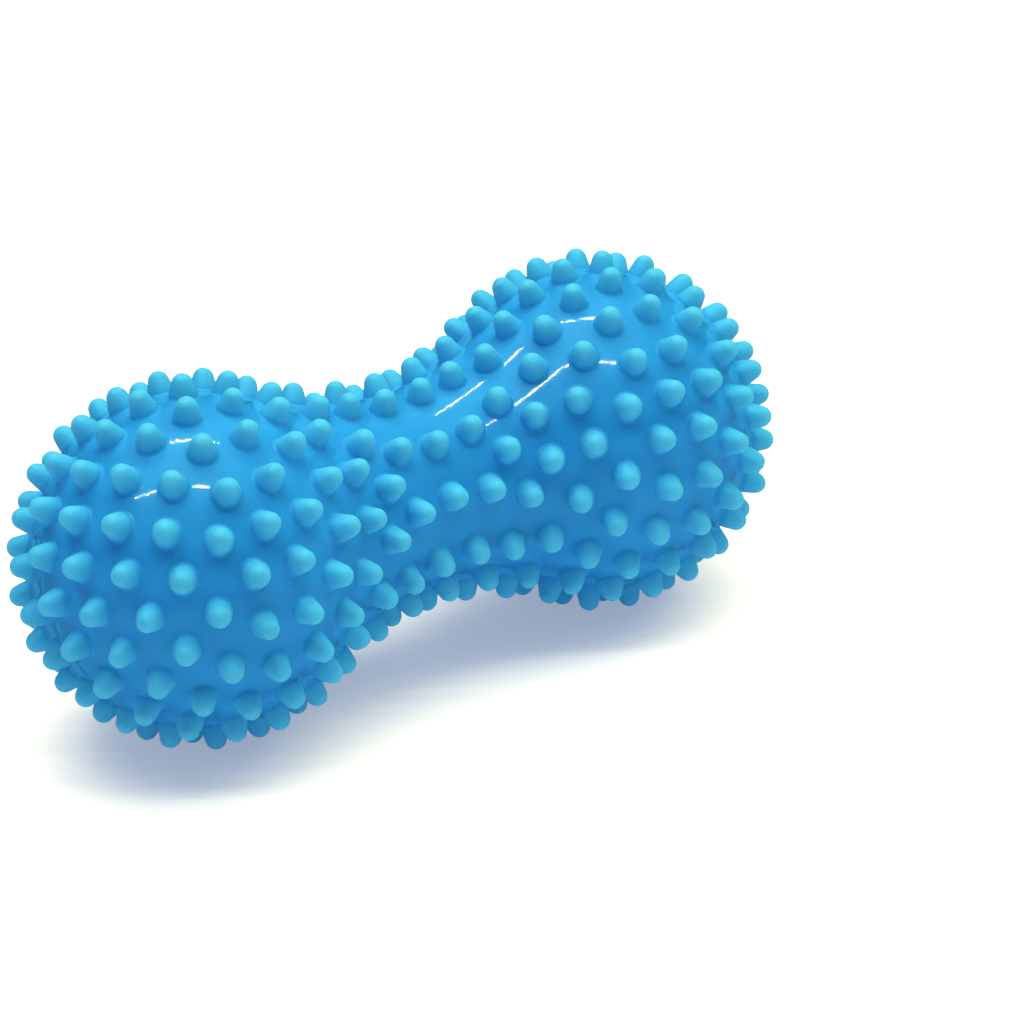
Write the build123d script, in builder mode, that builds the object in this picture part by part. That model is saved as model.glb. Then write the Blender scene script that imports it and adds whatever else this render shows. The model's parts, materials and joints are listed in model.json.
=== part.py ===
"""Two-lobed inflatable spiky ball, 180 x 80 mm: soft PVC skin, its moulded spikes and a needle valve.

The long axis is X. Z is up, and the origin is on the surface that the ball stands on, midway between the
lobes. The ball lies on four of its spikes, so the plane where the two mould halves met is rolled about X.
"""
import os
from math import acos, atan2, cos, degrees, radians, sin, sqrt

from build123d import *

# driving dimensions, mm
lobe_offset = 50.0  # from the middle of the ball to the centre of each lobe
skin_radius = 34.8  # outside of the skin on a lobe
waist_radius = 21.3  # outside of the skin at the middle of the waist
wall = 2.0
spike_height = 5.2
spike_radius = 2.9
ridge_height = 0.2  # fine line where the mould halves met
ridge_width = 0.6

# valve: a rubber plug snapped into a boss on the inside of the skin
plug_radius = 3.4
plug_recess = 3.0  # from the outside of the skin down to the face of the plug
plug_length = 12.0
plug_edge = 0.3
plug_flange_radius = 4.6
plug_flange_chamfer = 0.8
plug_flange_depth = 4.0  # from the face of the plug to the flange
plug_flange_length = 3.0
needle_hole_radius = 1.0
needle_hole_depth = 6.0
needle_hole_mouth_radius = 1.5
boss_radius = 7.0
boss_length = 14.0  # from the outside of the skin to the inner end of the boss
boss_edge = 1.5

# the spikes of a lobe stand on rings around the middle of each mould half
ring_counts = (1, 6, 12, 17, 21, 23)
ring_step = 90 / 5.5  # degrees of latitude, so that the parting line lies between two rings
ring_first_azimuths = (0, 0, 15, 0, 180, 0)
ring_last_azimuths = (180, 180, 180, 140, 135, 130)  # past these the waist has spikes of its own

# the waist's spikes on one mould half: distance along X, and degrees around X from the middle of the half
waist_spots = (
    (0.0, 15.0),
    (4.7, 50.0),
    (9.2, 17.0),
    (13.2, 52.0),
    (15.0, 0.0),
    (17.4, 25.0),
    (21.7, 50.0),
    (23.0, 11.0),
    (27.5, 31.5),
)
seam_row_places = (0.0, 10.0, 20.0)  # along X, for the row beside the parting line

# the valve takes the place of a spike near the outer end of the lobe on the +X side
valve_ring = 4
valve_azimuth = 180 - 10 * 360 / ring_counts[valve_ring]

# the waist is an arc tangent to both lobes
waist_arc_radius = (lobe_offset**2 + waist_radius**2 - skin_radius**2) / (2 * (skin_radius - waist_radius))
waist_arc_height = waist_arc_radius + waist_radius
waist_lift = spike_radius**2 / (2 * waist_arc_radius)  # so that a spike's flat base clears the hollow arc
tangent_angle = degrees(atan2(waist_arc_height, lobe_offset))
tangent_angle_outside = 180 - tangent_angle
tangent_x = lobe_offset - skin_radius * cos(radians(tangent_angle))


def ring_direction(ring, azimuth):
    """Unit vector in a mould half: out along the long axis, across it, and towards the half's middle."""
    latitude = radians(ring * ring_step)
    return Vector(
        sin(latitude) * cos(radians(azimuth)),
        sin(latitude) * sin(radians(azimuth)),
        cos(latitude),
    )


def ring_azimuths(ring):
    """Azimuths of a ring's spikes, from 0 at the outer end of the lobe to 180 at the waist."""
    azimuths = []
    for place in range(ring_counts[ring]):
        azimuth = (ring_first_azimuths[ring] + place * 360 / ring_counts[ring]) % 360
        if azimuth > 180.01:
            azimuth -= 360
        if abs(azimuth) < ring_last_azimuths[ring] + 0.01:
            azimuths.append(azimuth)
    return azimuths


# the ball rests where a spike of ring 3 and one of ring 4 stand level, on both lobes
inner_foot = ring_direction(3, 4 * 360 / ring_counts[3])
outer_foot = ring_direction(4, 180 - 5 * 360 / ring_counts[4])
roll = atan2(inner_foot.Z - outer_foot.Z, outer_foot.Y - inner_foot.Y)
dome_centre_radius = skin_radius + spike_height - spike_radius
foot_reach = inner_foot.Y * sin(roll) + inner_foot.Z * cos(roll)
centre_height = dome_centre_radius * foot_reach + spike_radius

along = Vector(1, 0, 0)
centre = Vector(0, 0, centre_height)
mould_pole = Vector(0, -sin(roll), cos(roll))  # middle of the upper mould half
across = Vector(0, cos(roll), sin(roll))
parting_plane = Plane(origin=centre, x_dir=along, z_dir=mould_pole)
long_axis = Axis(centre, along)


def half_outline(inset):
    """One side of the ball's outline, moved in by inset and closed along the axis."""
    lobe = skin_radius - inset
    arc = waist_arc_radius + inset
    with BuildLine() as outline:
        left = CenterArc((-lobe_offset, 0), lobe, 180, -tangent_angle_outside)
        CenterArc((0, waist_arc_height), arc, 180 + tangent_angle, 180 - 2 * tangent_angle)
        right = CenterArc((lobe_offset, 0), lobe, tangent_angle_outside, -tangent_angle_outside)
        Line(right @ 1, left @ 0)
    return outline.line


def to_world(out_sign, half_sign, direction):
    """A ring direction of one lobe and mould half, turned into the ball's own axes."""
    return along * (out_sign * direction.X) + across * direction.Y + mould_pole * (half_sign * direction.Z)


def waist_plane(x, turn, half_sign):
    """The plane of a spike on the waist, turn degrees around X from the middle of a mould half."""
    radius = waist_arc_height - sqrt(waist_arc_radius**2 - x**2)
    radial = mould_pole * (half_sign * cos(radians(turn))) + across * sin(radians(turn))
    point = centre + along * x + radial * radius
    normal = (centre + radial * waist_arc_height - point).normalized()
    return Plane(origin=point + normal * waist_lift, z_dir=normal)


def lobe_spikes(out_sign, half_sign):
    """Planes of the spikes on one mould half of one lobe."""
    lobe_centre = centre + along * (out_sign * lobe_offset)
    planes = []
    for ring in range(len(ring_counts)):
        for azimuth in ring_azimuths(ring):
            at_valve = ring == valve_ring and abs(azimuth - valve_azimuth) < 1
            if at_valve and out_sign > 0 and half_sign < 0:
                continue
            direction = ring_direction(ring, azimuth)
            normal = to_world(out_sign, half_sign, direction)
            x = lobe_offset + skin_radius * direction.X
            if x < tangent_x:
                planes.append(waist_plane(out_sign * x, degrees(atan2(direction.Y, direction.Z)), half_sign))
            else:
                planes.append(Plane(origin=lobe_centre + normal * skin_radius, z_dir=normal))
    return planes


def waist_spikes(half_sign):
    """Planes of the spikes on one mould half of the waist."""
    seam_row_height = skin_radius * cos(radians(5 * ring_step))
    spots = list(waist_spots)
    for x in seam_row_places:
        radius = waist_arc_height - sqrt(waist_arc_radius**2 - x**2)
        spots.append((x, degrees(acos(seam_row_height / radius))))
    planes = []
    for x, turn in spots:
        for x_sign in (1, -1) if x else (1,):
            for turn_sign in (1, -1) if turn else (1,):
                planes.append(waist_plane(x_sign * x, turn_sign * turn, half_sign))
    return planes


# valve position and the plane on the face of its plug
valve_direction = to_world(1, -1, ring_direction(valve_ring, valve_azimuth))
valve_lobe_centre = centre + along * lobe_offset
plug_face_centre = valve_lobe_centre + valve_direction * (skin_radius - plug_recess)
plug_face = Plane(origin=plug_face_centre, z_dir=valve_direction)
valve_axis = Axis(plug_face_centre, valve_direction)
valve_section = Plane(origin=plug_face_centre, x_dir=plug_face.x_dir, z_dir=-plug_face.y_dir)

# the plug without its needle hole, also the shape of its seat in the boss
flange_top = -plug_flange_depth
flange_bottom = flange_top - plug_flange_length
flange_shoulder = plug_flange_radius - plug_flange_chamfer
with BuildPart() as plug_blank:
    with BuildSketch(valve_section):
        with BuildLine():
            Polyline(
                (0, 0),
                (plug_radius - plug_edge, 0),
                (plug_radius, -plug_edge),
                (plug_radius, flange_top),
                (flange_shoulder, flange_top),
                (plug_flange_radius, flange_top - plug_flange_chamfer),
                (plug_flange_radius, flange_bottom + plug_flange_chamfer),
                (flange_shoulder, flange_bottom),
                (plug_radius, flange_bottom),
                (plug_radius, plug_flange_chamfer - plug_length),
                (plug_radius - plug_flange_chamfer, -plug_length),
                (0, -plug_length),
                close=True,
            )
        make_face()
    revolve(axis=valve_axis)

# from the face of the plug; the boss starts inside the skin's wall
boss_top = plug_recess - wall / 2
boss_bottom = plug_recess - boss_length

# skin: two lobes and a waist, hollow, with a fine ridge at the parting line and a boss for the valve
with BuildPart() as skin:
    with BuildSketch(parting_plane):
        with BuildLine():
            add(half_outline(0))
        make_face()
    revolve(axis=long_axis)
    with BuildSketch(parting_plane):
        with BuildLine():
            add(half_outline(-ridge_height))
        make_face()
        mirror(about=Plane.XZ)
    extrude(amount=ridge_width / 2, both=True)
    with BuildSketch(parting_plane):
        with BuildLine():
            add(half_outline(wall))
        make_face()
    revolve(axis=long_axis, mode=Mode.SUBTRACT)
    with BuildSketch(valve_section):
        with BuildLine():
            Polyline(
                (0, boss_top),
                (boss_radius, boss_top),
                (boss_radius, boss_bottom + boss_edge),
                (boss_radius - boss_edge, boss_bottom),
                (0, boss_bottom),
                close=True,
            )
        make_face()
    revolve(axis=valve_axis)
    add(plug_blank.part, mode=Mode.SUBTRACT)
    with BuildSketch(plug_face.offset(-plug_edge)):
        Circle(plug_radius)
    extrude(amount=plug_recess + 2 * plug_edge, mode=Mode.SUBTRACT)
skin.part.label = "skin"

# one spike, standing on z = 0: a round pin with a domed tip
dome_height = spike_height - spike_radius
with BuildPart() as spike:
    with BuildSketch(Plane.XZ):
        with BuildLine():
            dome = CenterArc((0, dome_height), spike_radius, 0, 90)
            Polyline(dome @ 1, (0, 0), (spike_radius, 0), dome @ 0)
        make_face()
    revolve(axis=Axis.Z)

spike_planes = waist_spikes(1) + waist_spikes(-1)
for lobe_sign in (1, -1):
    for mould_half in (1, -1):
        spike_planes += lobe_spikes(lobe_sign, mould_half)

with BuildPart() as spikes:
    with Locations(*spike_planes):
        add(spike.part)
spikes.part.label = "spikes"

# rubber plug with a blind hole that guides the needle to the slit behind it
with BuildPart() as valve_plug:
    add(plug_blank.part)
    with Locations(plug_face):
        CounterSinkHole(needle_hole_radius, needle_hole_mouth_radius, needle_hole_depth, 90)
valve_plug.part.label = "valve_plug"

os.makedirs("parts", exist_ok=True)
for piece in (skin, spikes, valve_plug):
    export_step(piece.part, f"parts/{piece.part.label}.step")

print("spikes", len(spike_planes))
print("lobe centre height", round(centre_height, 4), "roll", round(degrees(roll), 4))
print("plug face centre", [round(value, 4) for value in plug_face_centre])
print("valve direction", [round(value, 6) for value in valve_direction])
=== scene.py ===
"""Looks of the two-lobed inflatable spiky ball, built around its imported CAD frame.

The moulding, skin and spikes in one, is a mesh made here: every spike is a patch of rings that flows into
the skin through a small fillet, and the skin between the patches is triangulated. The mesh is worked out in
millimetres in the mould's axes (X along the ball, Z through the middle of a mould half) and then turned
into the frame.
"""
import json
import math

import bpy
import numpy as np
from mathutils import Matrix, Vector
from mathutils.geometry import delaunay_2d_cdt

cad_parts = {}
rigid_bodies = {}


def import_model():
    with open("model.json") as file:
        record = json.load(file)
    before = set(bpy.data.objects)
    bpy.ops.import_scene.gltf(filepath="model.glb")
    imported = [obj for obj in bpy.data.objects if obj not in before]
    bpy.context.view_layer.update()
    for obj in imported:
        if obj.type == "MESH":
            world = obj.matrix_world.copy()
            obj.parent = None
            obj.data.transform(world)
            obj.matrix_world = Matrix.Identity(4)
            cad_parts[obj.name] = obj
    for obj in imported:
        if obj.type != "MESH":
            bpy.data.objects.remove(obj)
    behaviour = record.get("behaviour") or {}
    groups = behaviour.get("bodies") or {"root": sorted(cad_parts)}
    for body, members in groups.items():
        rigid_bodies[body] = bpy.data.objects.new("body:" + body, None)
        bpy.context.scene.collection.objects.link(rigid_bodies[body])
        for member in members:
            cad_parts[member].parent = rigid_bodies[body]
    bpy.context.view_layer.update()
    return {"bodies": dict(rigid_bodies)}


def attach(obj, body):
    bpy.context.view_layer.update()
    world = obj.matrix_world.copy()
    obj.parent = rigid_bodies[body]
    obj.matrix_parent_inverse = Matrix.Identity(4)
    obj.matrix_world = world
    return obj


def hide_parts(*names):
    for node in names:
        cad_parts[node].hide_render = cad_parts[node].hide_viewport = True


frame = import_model()
root = list(frame["bodies"])[0]
mm = 0.001

# the ball's dimensions, mm
lobe_offset = 50.0
skin_radius = 34.8
waist_radius = 21.3
spike_height = 5.2
cad_tip_radius = 2.9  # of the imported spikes, which the ball stands on
waist_arc_radius = (lobe_offset**2 + waist_radius**2 - skin_radius**2) / (2 * (skin_radius - waist_radius))
waist_arc_height = waist_arc_radius + waist_radius
tangent_slope = waist_arc_height / lobe_offset
tangent_x = lobe_offset - skin_radius * lobe_offset / math.hypot(lobe_offset, waist_arc_height)

# the spikes' layout on a mould half: rings around the middle of each lobe, azimuths in degrees from the
# ball's end, and spots on the waist at (x, degrees around X)
ring_counts = (1, 6, 12, 17, 21, 23)
last_ring = len(ring_counts) - 1
ring_step = math.radians(90 / (last_ring + 0.5))
ring_first_azimuths = (0, 0, 15, 0, 180, 0)
ring_last_azimuths = (180, 180, 180, 140, 135, 130)
azimuth_slack = 0.01
waist_spots = (
    (0.0, 15.0),
    (4.7, 50.0),
    (9.2, 17.0),
    (13.2, 52.0),
    (15.0, 0.0),
    (17.4, 25.0),
    (21.7, 50.0),
    (23.0, 11.0),
    (27.5, 31.5),
)
seam_row_places = (0.0, 10.0, 20.0)
valve_ring = 4
valve_azimuth = 180 - 10 * 360 / ring_counts[valve_ring]

# shape of a moulded spike: a straight foot, then a cone between two spheres
foot_radius = 2.95
foot_rise = 0.5
tip_radius = 2.3
fillet = 0.75
patch_radius = 3.75
# its rings of vertices before they are moved onto the surface: (from the axis, height), then up the tip
side_rings = [(3.5, 0.06), (3.26, 0.2), (3.04, 0.5), (2.82, 1.2), (2.6, 2.1)]
dome_ring_angles = (22, 40, 58, 75)

# how much the spikes differ from each other
lean_spread = 0.016
width_spread = 0.045
height_change = -0.05
height_range = (-0.13, 0.05)

# shape of the valve
bore_radius = 3.4
bore_rim = 0.6
bore_ring_depths = (1.4, 2.2)
plug_radius = 3.37
plug_recess = 3.0
plug_length = 12.0
plug_edge = 0.35
flange_radius = 4.57
flange_depth = 7.0  # from the outside of the skin
flange_length = 3.0
flange_chamfer = 0.8
needle_hole_radius = 1.0
needle_hole_depth = 6.0
needle_hole_edge = 0.06
seat_clearance = 0.04
# the plug's face, from the needle hole out: (from the hole's wall, below the face)
countersink = ((0, 2), (0, 0.56), (0.04, 0.46), (0.42, 0.08), (0.5, 0.03), (0.62, 0))
face_crown = ((2.3, -0.02), (2.95, 0))
face_edge = ((0.22, 0.04), (0.08, 0.15))  # (from the plug's side, below the face)

# parting line
ridge_height = 0.2
ridge_half_width = 0.42

# fineness of the mesh
spike_segments = 20
valve_segments = 64
rim_steps = 7
line_spacing = 1.5
skin_spacing = 1.75
skin_jitter = 0.15
rim_gap = 0.62  # of the skin's spacing, kept free around each rim
line_gap = 0.55  # of the skin's spacing, kept free beside the parting line
outline_steps = 4000
smoothing_rounds = 4
fitting_rounds = 6
skin_fitting_rounds = 3
gradient_step = 0.002

rng = np.random.default_rng(7)


def unit(vectors):
    return vectors / np.linalg.norm(vectors, axis=-1, keepdims=True)


def ring_direction(ring, azimuth):
    latitude = ring * ring_step
    turn = math.radians(azimuth)
    return np.array(
        (math.sin(latitude) * math.cos(turn), math.sin(latitude) * math.sin(turn), math.cos(latitude))
    )


# the valve is in the +X lobe, in the other mould half from the one on top
valve_axis = ring_direction(valve_ring, valve_azimuth) * (1, 1, -1)
valve_point = valve_axis * skin_radius + (lobe_offset, 0, 0)


def waist_skin(x, turn):
    """A point on the waist turn radians around X from the middle of a mould half, and the way it faces."""
    radius = waist_arc_height - math.sqrt(waist_arc_radius**2 - x**2)
    radial = np.array((0.0, math.sin(turn), math.cos(turn)))
    point = radial * radius + np.array((x, 0.0, 0.0))
    return point, unit(radial * waist_arc_height - point)


def spike_feet():
    """Where the spikes stand on the skin and which way each points, in the mould's axes."""
    spots = [(x, math.radians(turn)) for x, turn in waist_spots]
    for x in seam_row_places:
        radius = waist_arc_height - math.sqrt(waist_arc_radius**2 - x**2)
        spots.append((x, math.acos(skin_radius * math.cos(last_ring * ring_step) / radius)))
    feet = []
    for x, turn in spots:
        for x_sign in (1, -1) if x else (1,):
            for turn_sign in (1, -1) if turn else (1,):
                feet.append(waist_skin(x_sign * x, turn_sign * turn))
    for ring, count in enumerate(ring_counts):
        for place in range(count):
            azimuth = (ring_first_azimuths[ring] + place * 360 / count) % 360
            if azimuth > 180 + azimuth_slack:
                azimuth -= 360
            if abs(azimuth) > ring_last_azimuths[ring] + azimuth_slack:
                continue
            direction = ring_direction(ring, azimuth)
            x = lobe_offset + skin_radius * direction[0]
            if x < tangent_x:
                turn = math.atan2(direction[1], direction[2])
                feet.append(waist_skin(x, turn))
                feet.append(waist_skin(-x, turn))
            else:
                point = direction * skin_radius + np.array((lobe_offset, 0.0, 0.0))
                feet.append((point, direction))
                flip = np.array((-1.0, 1.0, 1.0))
                feet.append((point * flip, direction * flip))
    points = np.array([point for point, _ in feet])
    normals = np.array([normal for _, normal in feet])
    down = np.array((1.0, 1.0, -1.0))
    points = np.vstack((points, points * down))
    normals = np.vstack((normals, normals * down))

    # the valve takes the place of one spike
    kept = np.linalg.norm(points - valve_point, axis=1) >= 1
    return points[kept], normals[kept]


def skin_distance(points):
    """Height above the smooth skin, and the way the skin faces there."""
    x = points[..., 0]
    r = np.maximum(np.hypot(points[..., 1], points[..., 2]), 1e-9)
    out = np.abs(x)
    on_waist = r < tangent_slope * (lobe_offset - out)
    to_arc = np.hypot(x, waist_arc_height - r)
    to_lobe = np.hypot(out - lobe_offset, r)
    height = np.where(on_waist, waist_arc_radius - to_arc, to_lobe - skin_radius)
    along = np.where(on_waist, -x / to_arc, np.sign(x) * (out - lobe_offset) / to_lobe)
    outward = np.where(on_waist, (waist_arc_height - r) / to_arc, r / to_lobe)
    facing = np.stack((along, outward * points[..., 1] / r, outward * points[..., 2] / r), axis=-1)
    return height, facing


def onto_skin(points):
    for _ in range(skin_fitting_rounds):
        height, facing = skin_distance(points)
        points = points - height[..., None] * facing
    return points


def spike_distance(points, feet, normals, heights, widths):
    """Distance from a spike: a straight foot with a cone between two spheres on it."""
    offset = points - feet
    up = (offset * normals).sum(-1)
    side = np.sqrt(np.maximum((offset**2).sum(-1) - up**2, 0))
    up = np.maximum(up - foot_rise, 0)
    foot = foot_radius + widths
    tip = tip_radius + widths
    reach = heights - tip - foot_rise
    lean = (foot - tip) / reach
    upright = np.sqrt(1 - lean**2)
    place = upright * up - lean * side
    at_foot = np.hypot(side, up) - foot
    at_tip = np.hypot(side, up - reach) - tip
    between = upright * side + lean * up - foot
    return np.where(place < 0, at_foot, np.where(place > upright * reach, at_tip, between))


def moulding_distance(points, *spikes):
    """Distance from skin and spike together, joined by a round fillet."""
    skin, _ = skin_distance(points)
    spike = spike_distance(points, *spikes)
    corner = np.hypot(np.maximum(fillet - skin, 0), np.maximum(fillet - spike, 0))
    return np.maximum(fillet, np.minimum(skin, spike)) - corner


def moulding_gradient(points, *spikes):
    parts = []
    for axis in np.eye(3) * gradient_step:
        ahead = moulding_distance(points + axis, *spikes)
        behind = moulding_distance(points - axis, *spikes)
        parts.append((ahead - behind) / (2 * gradient_step))
    return np.stack(parts, axis=-1)


def across(normals):
    """Two directions across each normal."""
    helper = np.where(np.abs(normals[:, :1]) < 0.8, np.array((1.0, 0.0, 0.0)), np.array((0.0, 1.0, 0.0)))
    first = unit(np.cross(normals, helper))
    return first, np.cross(normals, first)


def valve_circle(side, depth):
    """Points around the valve's axis, depth below the outside of the skin."""
    first, second = across(valve_axis[None])
    turn = np.arange(valve_segments)[:, None] * 2 * math.pi / valve_segments
    return valve_point + (np.cos(turn) * first + np.sin(turn) * second) * side - valve_axis * depth


def plug_side(clearance):
    """Outline of the plug from just under its face to its inner end: distance from the axis, and depth."""
    side = plug_radius + clearance
    flange = flange_radius + clearance
    shoulder = flange - flange_chamfer
    top = flange_depth - clearance
    bottom = flange_depth + flange_length + clearance
    end = plug_recess + plug_length + clearance
    return [
        (side, plug_recess + plug_edge),
        (side, top),
        (shoulder, top),
        (flange, top + flange_chamfer),
        (flange, bottom - flange_chamfer),
        (shoulder, bottom),
        (side, bottom),
        (side, end - flange_chamfer),
        (side - flange_chamfer, end),
    ]


def bore_outline():
    """Outline of the valve's hole in the skin: its round rim, its wall and the plug's seat."""
    rim_centre_side = bore_radius + bore_rim
    rim_centre_reach = math.sqrt((skin_radius - bore_rim) ** 2 - rim_centre_side**2)
    rim_start = math.asin(rim_centre_side / (skin_radius - bore_rim))
    outline = []
    for angle in np.linspace(rim_start, -math.pi / 2, rim_steps):
        side = rim_centre_side + bore_rim * math.sin(angle)
        reach = rim_centre_reach + bore_rim * math.cos(angle)
        outline.append((side, skin_radius - reach))
    outline += [(bore_radius, depth) for depth in bore_ring_depths + (plug_recess,)]
    return outline + plug_side(seat_clearance)


def band(lower, upper):
    """Quads between two rings of vertices."""
    quads = np.stack((lower, np.roll(lower, -1), np.roll(upper, -1), upper), -1)
    return [tuple(quad) for quad in quads.tolist()]


def cap(ring, tip):
    """Triangles from a ring of vertices to one more vertex."""
    ring = [int(vertex) for vertex in ring]
    return [(here, ahead, tip) for here, ahead in zip(ring, ring[1:] + ring[:1])]


def build_plug():
    """Vertices and faces of the rubber plug, from the bottom of its needle hole out and round to its end."""
    hole = needle_hole_radius
    hole_bottom = plug_recess + needle_hole_depth
    outline = [(hole - needle_hole_edge, hole_bottom), (hole, hole_bottom - needle_hole_edge)]
    outline += [(hole + side, plug_recess + depth) for side, depth in countersink]
    outline += [(side, plug_recess + depth) for side, depth in face_crown]
    outline += [(plug_radius - side, plug_recess + depth) for side, depth in face_edge]
    outline += plug_side(0)
    rings = [valve_circle(side, depth) for side, depth in outline]
    ends = [valve_circle(0, hole_bottom)[0], valve_circle(0, outline[-1][1])[0]]
    vertices = np.vstack(rings + ends)
    numbers = np.arange(len(rings) * valve_segments).reshape(len(rings), valve_segments)
    faces = cap(numbers[0], len(vertices) - 2)
    faces += cap(numbers[-1][::-1], len(vertices) - 1)
    for inner, outer in zip(numbers, numbers[1:]):
        faces += band(outer, inner)
    return vertices, faces


def waist_flow(x):
    """Integral of arc length over radius along the waist, from the middle."""
    bend = np.arcsin(x / waist_arc_radius)
    total = waist_arc_height + waist_arc_radius
    gap = waist_arc_height - waist_arc_radius
    root_product = math.sqrt(total * gap)
    return 2 * waist_arc_radius / root_product * np.arctan(math.sqrt(total / gap) * np.tan(bend / 2))


def flatten(points, hole):
    """An angle-true map of the skin onto the plane, with the given point sent to infinity."""
    start = math.acos((tangent_x - lobe_offset) / skin_radius)
    offset = waist_flow(tangent_x) + math.log(math.tan(start / 2))

    def on_plane(p):
        out = np.abs(p[:, 0])
        r = np.hypot(p[:, 1], p[:, 2])
        pole_angle = np.arctan2(r, out - lobe_offset)
        lobe_flow = offset - np.log(np.tan(np.maximum(pole_angle, 1e-9) / 2))
        flow = np.where(out < tangent_x, waist_flow(np.minimum(out, tangent_x)), lobe_flow)
        return np.exp(np.sign(p[:, 0]) * flow + 1j * np.arctan2(p[:, 2], p[:, 1]))

    centre = on_plane(hole[None, :])[0]
    flat = on_plane(points)
    flat = (1 + np.conj(centre) * flat) / (flat - centre)
    return np.stack((flat.real, flat.imag), axis=-1)


def parting_outline(spacing):
    """Points on the parting line, all the way round, at even steps."""
    end_angle = math.pi - math.atan(tangent_slope)
    lobe_turn = np.linspace(0, end_angle, outline_steps)
    lobe = np.stack((lobe_offset + skin_radius * np.cos(lobe_turn), skin_radius * np.sin(lobe_turn)), -1)
    x = np.linspace(tangent_x, -tangent_x, outline_steps)[1:-1]
    waist = np.stack((x, waist_arc_height - np.sqrt(waist_arc_radius**2 - x**2)), -1)
    other = lobe[::-1] * (-1, 1)
    side = np.vstack((lobe, waist, other))
    loop = np.vstack((side, side[::-1][1:-1] * (1, -1)))
    loop = np.vstack((loop, loop[:1]))
    lengths = np.concatenate(((0,), np.cumsum(np.linalg.norm(np.diff(loop, axis=0), axis=1))))
    count = int(lengths[-1] / spacing)
    places = np.arange(count) * lengths[-1] / count
    return np.stack((np.interp(places, lengths, loop[:, 0]), np.interp(places, lengths, loop[:, 1])), -1)


def free_points(feet, valve_rim_radius):
    """Points spread over the skin, clear of the spikes' patches, the valve's rim and the parting line."""
    line = parting_outline(skin_spacing)
    rows = []
    for row, (x, r) in enumerate(line[: len(line) // 2 + 1]):
        count = max(1, round(2 * math.pi * abs(r) / skin_spacing))
        turn = (np.arange(count) + 0.5 * (row % 2)) * 2 * math.pi / count
        rows.append(np.stack((np.full(count, x), r * np.cos(turn), r * np.sin(turn)), -1))
    points = np.vstack(rows)
    points += rng.uniform(-skin_jitter, skin_jitter, points.shape)
    points = onto_skin(points)
    keep = np.abs(points[:, 2]) > ridge_half_width + line_gap * skin_spacing
    keep &= np.linalg.norm(points - valve_point, axis=1) > valve_rim_radius + rim_gap * skin_spacing
    for foot in feet:
        keep &= np.linalg.norm(points - foot, axis=1) > patch_radius + rim_gap * skin_spacing
    return points[keep]


def build_spikes(feet, axes):
    """For each spike its rim on the skin, the rings above it, their normals, its tip and its own axis."""
    # no two spikes came out of the mould quite alike
    count = len(feet)
    lean = rng.normal(0, lean_spread, (count, 3))
    tilted = unit(axes + lean - (lean * axes).sum(-1, keepdims=True) * axes)
    heights = spike_height + height_change + rng.uniform(*height_range, count)
    widths = rng.normal(0, width_spread, count)
    spin = rng.uniform(0, 2 * math.pi, count)

    first, second = across(tilted)
    turn = np.arange(spike_segments) * 2 * math.pi / spike_segments
    around = turn[None, :] + spin[:, None]
    radial = np.cos(around)[..., None] * first[:, None] + np.sin(around)[..., None] * second[:, None]
    rims = onto_skin(feet[:, None] + radial * patch_radius)

    dome = np.radians(dome_ring_angles)
    dome_centre = spike_height - tip_radius
    profile = side_rings + [(tip_radius * math.cos(a), dome_centre + tip_radius * math.sin(a)) for a in dome]
    shape = (count, len(profile), spike_segments)
    rings = np.empty(shape + (3,))
    for ring, (side, up) in enumerate(profile):
        rings[:, ring] = feet[:, None] + radial * side + tilted[:, None] * up

    # the rings are moved onto the true surface
    spikes = []
    for values in (feet, tilted, heights, widths):
        spikes.append(np.broadcast_to(values[:, None, None], shape + values.shape[1:]))
    for _ in range(fitting_rounds):
        gap = moulding_distance(rings, *spikes)
        slope = moulding_gradient(rings, *spikes)
        rings = rings - (gap / (slope**2).sum(-1))[..., None] * slope
    return rims, rings, unit(moulding_gradient(rings, *spikes)), feet + tilted * heights[:, None], tilted


def triangulate(points, starts, feet):
    """Triangles of the skin between the rims, which stay edges, as do the parting line's three lines."""
    loops = [np.arange(spike_segments) + spike_segments * spike for spike in range(len(feet))]
    loops += [np.arange(start, end) for start, end in zip(starts[1:5], starts[2:6])]
    edges = np.vstack([np.stack((loop, np.roll(loop, -1)), -1) for loop in loops])
    flat = flatten(points, feet[0])
    result = delaunay_2d_cdt([Vector(p) for p in flat], edges.tolist(), [], 0, 1e-9)
    source = np.array([sources[0] if sources else -1 for sources in result[3]])
    triangles = source[np.array(result[2])]

    owner = np.full(len(points), -1)
    owner[: starts[1]] = np.arange(len(feet)).repeat(spike_segments)
    owner[starts[1] : starts[2]] = len(feet)
    owners = owner[triangles]
    inside = (owners[:, 0] >= 0) & (owners[:, 0] == owners[:, 1]) & (owners[:, 1] == owners[:, 2])
    return triangles[~inside]


def even_out(points, triangles, free):
    """Move the free points to the middle of their neighbours, staying on the skin."""
    pairs = np.vstack((triangles[:, (0, 1)], triangles[:, (1, 2)], triangles[:, (2, 0)]))
    pairs = np.vstack((pairs, pairs[:, ::-1]))
    weight = np.bincount(pairs[:, 0], minlength=len(points))[:, None]
    for _ in range(smoothing_rounds):
        sums = [np.bincount(pairs[:, 0], points[pairs[:, 1], n], minlength=len(points)) for n in range(3)]
        total = np.stack(sums, -1)
        points[free] = onto_skin((total / np.maximum(weight, 1))[free])


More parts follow.
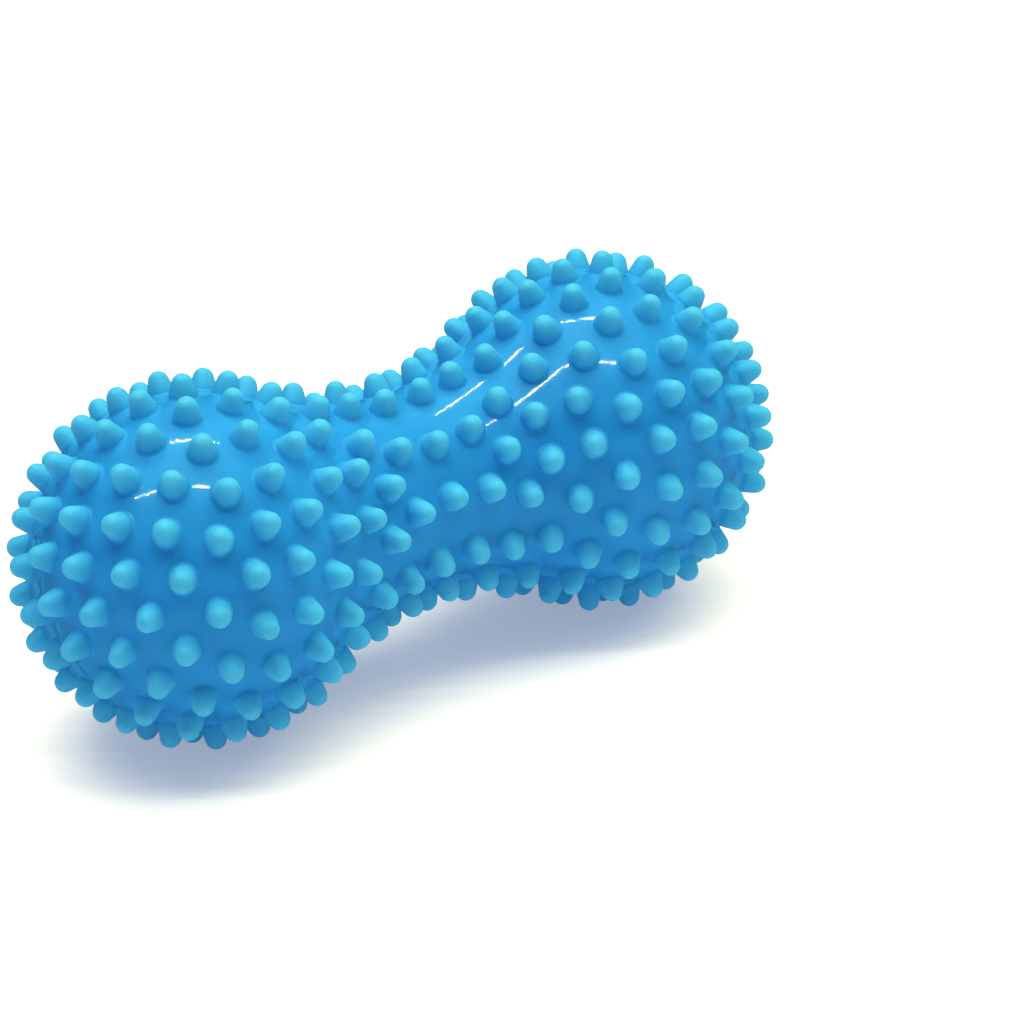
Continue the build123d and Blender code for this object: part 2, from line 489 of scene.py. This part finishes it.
def build_moulding():
    """Vertices, faces and outward normals of skin and spikes, and values that the material reads there.

    A normal of zero leaves the shading to the mesh. The values are rise, the height above the skin from 0 to
    1, and open_skin, which is 1 on the skin between the spikes and 0 on the spikes and in the valve's hole.
    """
    feet, axes = spike_feet()
    rims, rings, ring_normals, tips, tilted = build_spikes(feet, axes)
    outline = bore_outline()
    bore_rings = np.array([valve_circle(side, depth) for side, depth in outline])

    # the skin's points: spikes' rims, the valve's rim, the parting line's two edges and ridge, free points
    line = parting_outline(line_spacing)
    on_line = np.stack((line[:, 0], line[:, 1], np.zeros(len(line))), -1)
    lines = [onto_skin(on_line + (0, 0, shift)) for shift in (-ridge_half_width, 0.0, ridge_half_width)]
    blocks = [rims.reshape(-1, 3), bore_rings[0]] + lines + [free_points(feet, outline[0][0])]
    starts = np.concatenate(((0,), np.cumsum([len(block) for block in blocks])))
    valve_rim = slice(starts[1], starts[2])
    parting = slice(starts[2], starts[5])
    ridge = slice(starts[3], starts[4])
    free = slice(starts[5], starts[6])
    skin_points = np.vstack(blocks)
    triangles = triangulate(skin_points, starts, feet)
    even_out(skin_points, triangles, free)

    _, skin_normals = skin_distance(skin_points)
    corners = skin_points[triangles]
    facing = np.cross(corners[:, 1] - corners[:, 0], corners[:, 2] - corners[:, 0])
    inward = (facing * skin_normals[triangles[:, 0]]).sum(-1) <= 0
    triangles[inward] = triangles[inward][:, ::-1]
    skin_points[ridge] += skin_normals[ridge] * ridge_height
    skin_normals[valve_rim] = 0
    skin_normals[parting] = 0

    # all the vertices in one list
    ring_base = len(skin_points)
    tip_base = ring_base + rings[..., 0].size
    bore_base = tip_base + len(feet)
    bottom = valve_circle(0.0, outline[-1][1])[:1]
    vertices = np.vstack((skin_points, rings.reshape(-1, 3), tips, bore_rings[1:].reshape(-1, 3), bottom))
    normals = np.zeros_like(vertices)
    normals[:ring_base] = skin_normals
    normals[ring_base:tip_base] = ring_normals.reshape(-1, 3)
    normals[tip_base:bore_base] = tilted

    faces = [tuple(triangle) for triangle in triangles.tolist()]
    rim_numbers = np.arange(starts[1]).reshape(len(feet), spike_segments)
    ring_numbers = np.arange(ring_base, tip_base).reshape(rings.shape[:3])
    for spike in range(len(feet)):
        lower = rim_numbers[spike]
        for upper in ring_numbers[spike]:
            faces += band(lower, upper)
            lower = upper
        faces += cap(lower, tip_base + spike)
    lower = np.arange(starts[1], starts[2])
    for upper in np.arange(bore_base, len(vertices) - 1).reshape(-1, valve_segments):
        faces += band(lower, upper)
        lower = upper
    faces += cap(lower, len(vertices) - 1)

    rise, _ = skin_distance(vertices)
    open_skin = np.zeros(len(vertices))
    open_skin[:ring_base] = 1
    open_skin[valve_rim] = 0
    return vertices, faces, normals, {"rise": np.clip(rise / spike_height, 0, 1), "open_skin": open_skin}


# where the mould's axes are in the frame: the ball stands on two spikes of each lobe, in rings 3 and 4
inner_foot = ring_direction(3, 4 * 360 / ring_counts[3])
outer_foot = ring_direction(4, 180 - 5 * 360 / ring_counts[4])
roll = math.atan2(inner_foot[2] - outer_foot[2], outer_foot[1] - inner_foot[1])
foot_reach = inner_foot[1] * math.sin(roll) + inner_foot[2] * math.cos(roll)
dome_centre_radius = skin_radius + spike_height - cad_tip_radius
centre_height = dome_centre_radius * foot_reach + cad_tip_radius
turned = np.array(
    (
        (1, 0, 0),
        (0, math.cos(roll), -math.sin(roll)),
        (0, math.sin(roll), math.cos(roll)),
    )
)


def to_frame(points):
    """From millimetres in the mould's axes to metres in the frame."""
    return (points @ turned.T + (0, 0, centre_height)) * mm


def add_piece(name, vertices, faces, material):
    mesh = bpy.data.meshes.new(name)
    mesh.from_pydata(vertices.tolist(), [], faces)
    mesh.polygons.foreach_set("use_smooth", np.ones(len(mesh.polygons), dtype=bool))
    mesh.materials.append(material)
    piece = bpy.data.objects.new(name, mesh)
    bpy.context.scene.collection.objects.link(piece)
    return piece


def new_material(name):
    material = bpy.data.materials.new(name)
    material.use_nodes = True
    return material, material.node_tree.nodes, material.node_tree.links


def add_noise(nodes, links, scale, detail):
    """Noise fixed to the object."""
    place = nodes.new("ShaderNodeTexCoord")
    noise = nodes.new("ShaderNodeTexNoise")
    noise.inputs["Scale"].default_value = scale
    noise.inputs["Detail"].default_value = detail
    links.new(place.outputs["Object"], noise.inputs["Vector"])
    return noise.outputs["Fac"]


def add_range(nodes, links, source, low, high):
    """A value from 0 to 1 spread from low to high."""
    spread = nodes.new("ShaderNodeMapRange")
    spread.inputs["To Min"].default_value = low
    spread.inputs["To Max"].default_value = high
    links.new(source, spread.inputs["Value"])
    return spread.outputs["Result"]


def add_ramp(nodes, links, source, first, last, *others):
    """Colours at places from 0 to 1."""
    node = nodes.new("ShaderNodeValToRGB")
    elements = node.color_ramp.elements
    for element, (position, colour) in ((elements[0], first), (elements[1], last)):
        element.position = position
        element.color = colour
    for position, colour in others:
        elements.new(position).color = colour
    links.new(source, node.inputs["Fac"])
    return node.outputs["Color"]


def add_bump(nodes, links, source, strength):
    node = nodes.new("ShaderNodeBump")
    node.inputs["Strength"].default_value = strength
    node.inputs["Distance"].default_value = 0.0002
    links.new(source, node.inputs["Height"])
    return node.outputs["Normal"]


def pvc_material():
    """Blue PVC, lighter towards the tips: satin on the spikes, glossy on the open skin."""
    material, nodes, links = new_material("moulded_pvc")
    shader = nodes["Principled BSDF"]
    rise = nodes.new("ShaderNodeAttribute")
    rise.attribute_name = "rise"
    at_skin = (0.0, (0.014, 0.25, 0.725, 1))
    at_foot = (0.25, (0.036, 0.352, 0.74, 1))
    at_tip = (0.95, (0.056, 0.4, 0.75, 1))
    blue = add_ramp(nodes, links, rise.outputs["Fac"], at_skin, at_tip, at_foot)
    clouds = add_range(nodes, links, add_noise(nodes, links, 45, 3), 0.9, 1.1)
    clouded = nodes.new("ShaderNodeVectorMath")
    clouded.operation = "SCALE"
    links.new(blue, clouded.inputs[0])
    links.new(clouds, clouded.inputs["Scale"])
    links.new(clouded.outputs["Vector"], shader.inputs["Base Color"])

    blotches = add_noise(nodes, links, 260, 4)
    links.new(add_range(nodes, links, blotches, 0.44, 0.56), shader.inputs["Roughness"])
    open_skin = nodes.new("ShaderNodeAttribute")
    open_skin.attribute_name = "open_skin"
    glossy = nodes.new("ShaderNodeMath")
    glossy.operation = "POWER"
    glossy.inputs[1].default_value = 4
    links.new(open_skin.outputs["Fac"], glossy.inputs[0])
    links.new(glossy.outputs["Value"], shader.inputs["Coat Weight"])
    shader.inputs["Coat Roughness"].default_value = 0.06

    grain = add_noise(nodes, links, 2200, 2)
    links.new(add_bump(nodes, links, grain, 0.12), shader.inputs["Normal"])
    orange_peel = add_noise(nodes, links, 650, 3)
    links.new(add_bump(nodes, links, orange_peel, 0.07), shader.inputs["Coat Normal"])

    shader.inputs["Subsurface Weight"].default_value = 0.5
    shader.inputs["Subsurface Radius"].default_value = (0.25, 0.8, 1.0)
    shader.inputs["Subsurface Scale"].default_value = 0.002
    shader.inputs["IOR"].default_value = 1.5
    shader.inputs["Specular IOR Level"].default_value = 0.8
    shader.inputs["Specular Tint"].default_value = (0.2, 0.95, 1.0, 1)
    return material


def rubber_material():
    """Speckled warm grey rubber."""
    material, nodes, links = new_material("valve_rubber")
    shader = nodes["Principled BSDF"]
    specks = add_noise(nodes, links, 900, 4)
    dark = (0.3, (0.36, 0.31, 0.21, 1))
    pale = (0.7, (0.58, 0.52, 0.40, 1))
    links.new(add_ramp(nodes, links, specks, dark, pale), shader.inputs["Base Color"])
    links.new(add_range(nodes, links, specks, 0.5, 0.75), shader.inputs["Roughness"])
    links.new(add_bump(nodes, links, specks, 0.25), shader.inputs["Normal"])
    return material


def floor_material():
    """A pale floor with painted light: it glows a little near the ball, which lifts the ball's shadow, and
    more far from the ball, so that it stays white.
    """
    material, nodes, links = new_material("pale_floor")
    shader = nodes["Principled BSDF"]
    mottle = add_noise(nodes, links, 8, 2)
    darker = (0, (0.81, 0.83, 0.90, 1))
    lighter = (1, (0.84, 0.86, 0.93, 1))
    links.new(add_ramp(nodes, links, mottle, darker, lighter), shader.inputs["Base Color"])
    shader.inputs["Roughness"].default_value = 0.7
    # painted light: the floor glows in this colour, weakly near the ball where it lightens the ball's
    # shadow, and more strongly further out
    shader.inputs["Emission Color"].default_value = (1, 0.97, 0.93, 1)
    place = nodes.new("ShaderNodeTexCoord")
    distance = nodes.new("ShaderNodeVectorMath")
    distance.operation = "LENGTH"
    links.new(place.outputs["Object"], distance.inputs[0])
    glow = nodes.new("ShaderNodeMapRange")
    glow.interpolation_type = "SMOOTHSTEP"
    glow.inputs["From Min"].default_value = 0.35
    glow.inputs["From Max"].default_value = 1.6
    glow.inputs["To Min"].default_value = 0.27
    glow.inputs["To Max"].default_value = 0.8
    links.new(distance.outputs["Value"], glow.inputs["Value"])
    links.new(glow.outputs["Result"], shader.inputs["Emission Strength"])
    return material


# the moulding
vertices, faces, normals, painted = build_moulding()
moulding = add_piece("spiky_skin", to_frame(vertices), faces, pvc_material())
for name, values in painted.items():
    attribute = moulding.data.attributes.new(name, "FLOAT", "POINT")
    attribute.data.foreach_set("value", values.astype(np.float32))
moulding.data.normals_split_custom_set_from_vertices((normals @ turned.T).tolist())
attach(moulding, root)
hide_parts("skin", "spikes")

# the valve's plug
vertices, faces = build_plug()
plug = add_piece("rubber_plug", to_frame(vertices), faces, rubber_material())
plug.data.set_sharp_from_angle(angle=math.radians(50))
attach(plug, root)
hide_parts("valve_plug")

# floor
floor_reach = 6.0
corners = [(x * floor_reach, y * floor_reach, 0) for x, y in ((-1, -1), (1, -1), (1, 1), (-1, 1))]
floor_mesh = bpy.data.meshes.new("floor")
floor_mesh.from_pydata(corners, [], [(0, 1, 2, 3)])
floor_mesh.materials.append(floor_material())
floor = bpy.data.objects.new("floor", floor_mesh)
bpy.context.scene.collection.objects.link(floor)
floor.visible_glossy = False

# camera
azimuth = math.radians(-32.77)
elevation = math.radians(26.19)
bank = math.radians(-2.73)
camera_distance = 0.8553
camera_to_right = 0.02371
camera_down = 0.00433
ball_centre = Vector((0, 0, centre_height * mm))
toward_camera = Vector((math.sin(azimuth), -math.cos(azimuth), 0))
back = toward_camera * math.cos(elevation) + Vector((0, 0, math.sin(elevation)))
level = Vector((math.cos(azimuth), math.sin(azimuth), 0))
right = level * math.cos(bank) + back.cross(level) * math.sin(bank)
up = back.cross(right)
camera_data = bpy.data.cameras.new("camera")
camera_data.lens = 140.6
camera_data.sensor_width = 36
camera_data.clip_start = 0.05
camera_data.clip_end = 20
camera = bpy.data.objects.new("camera", camera_data)
camera.location = ball_centre + right * camera_to_right - up * camera_down + back * camera_distance
camera.rotation_mode = "QUATERNION"
camera.rotation_quaternion = Matrix((right, up, back)).transposed().to_quaternion()
bpy.context.scene.collection.objects.link(camera)
bpy.context.scene.camera = camera


def add_lamp(name, to_right, height, toward, length, width, power, colour):
    """A rectangular lamp aimed at the ball, its length level with the camera's right."""
    data = bpy.data.lights.new(name, "AREA")
    data.shape = "RECTANGLE"
    data.size = length
    data.size_y = width
    data.energy = power
    data.color = colour
    lamp = bpy.data.objects.new(name, data)
    lamp.location = ball_centre + level * to_right + Vector((0, 0, height)) + toward_camera * toward
    facing = (lamp.location - ball_centre).normalized()
    short_side = facing.cross(level).normalized()
    long_side = short_side.cross(facing)
    lamp.rotation_mode = "QUATERNION"
    lamp.rotation_quaternion = Matrix((long_side, short_side, facing)).transposed().to_quaternion()
    bpy.context.scene.collection.objects.link(lamp)
    return lamp


# two thin lamps make the streaks on the glossy skin, and the overhead one makes none
streak_colour = (1.0, 0.98, 0.9)
key_colour = (1.0, 0.9, 0.45)
add_lamp("front_strip", -0.15, 1.15, 0.32, length=1.3, width=0.007, power=5, colour=streak_colour)
add_lamp("rear_strip", -0.1, 1.1, -0.45, length=0.7, width=0.007, power=2.4, colour=streak_colour)
overhead = add_lamp("overhead", 0.25, 1.21, -0.25, length=2.2, width=1.4, power=39.5, colour=key_colour)
overhead.visible_glossy = False

# a dim bluish world, bright where the camera sees it directly, and not mirrored in the skin
world = bpy.data.worlds.new("studio")
world.use_nodes = True
nodes = world.node_tree.nodes
links = world.node_tree.links
seen = nodes.new("ShaderNodeLightPath")
strength = add_range(nodes, links, seen.outputs["Is Camera Ray"], 0.31, 1.1)
links.new(strength, nodes["Background"].inputs["Strength"])
nodes["Background"].inputs["Color"].default_value = (0.88, 0.95, 1.0, 1)
world.cycles_visibility.glossy = False
bpy.context.scene.world = world
bpy.context.scene.view_settings.view_transform = "Standard"
